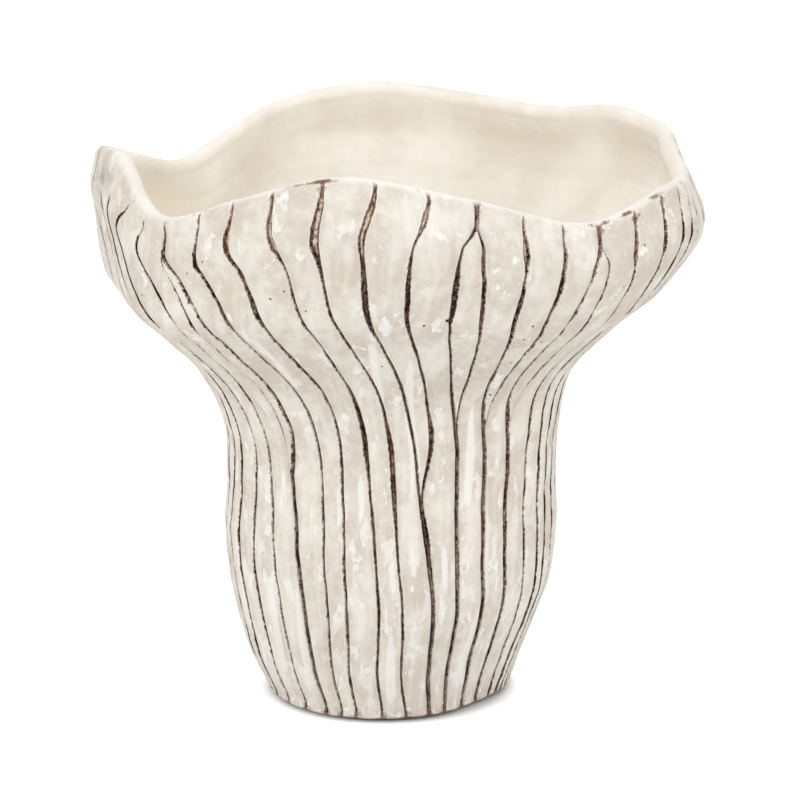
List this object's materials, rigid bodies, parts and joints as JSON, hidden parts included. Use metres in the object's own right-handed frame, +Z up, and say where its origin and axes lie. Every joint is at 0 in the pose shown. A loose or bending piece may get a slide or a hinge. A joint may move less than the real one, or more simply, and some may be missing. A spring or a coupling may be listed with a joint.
{
  "type": "planter",
  "caption": "Fluted concrete planter: a rounded belly under a wide wavy mouth, with carved grooves, a lift-out drain plug and foot pads.",
  "frame": {"origin": "centre of the planter's box at the level it stands on", "axes": "+Z up out of the mouth, -Y towards the side that the picture shows"},
  "size_m": [0.3512, 0.3542, 0.336],
  "materials": {
    "concrete": "cream washed, with dark brown grooves",
    "plug_rubber": "matte",
    "pad_rubber": "matte"
  },
  "bodies": {
    "planter": {"planter_body": "concrete", "foot_pad_1": "pad_rubber", "foot_pad_2": "pad_rubber", "foot_pad_3": "pad_rubber", "foot_pad_4": "pad_rubber"},
    "plug": {"drain_plug": "plug_rubber"}
  },
  "joints": [
    {"name": "plug_lift", "type": "slide", "parent": "planter", "child": "plug", "axis": [0, 0, 1], "range_m": [0, 0.36]}
  ]
}
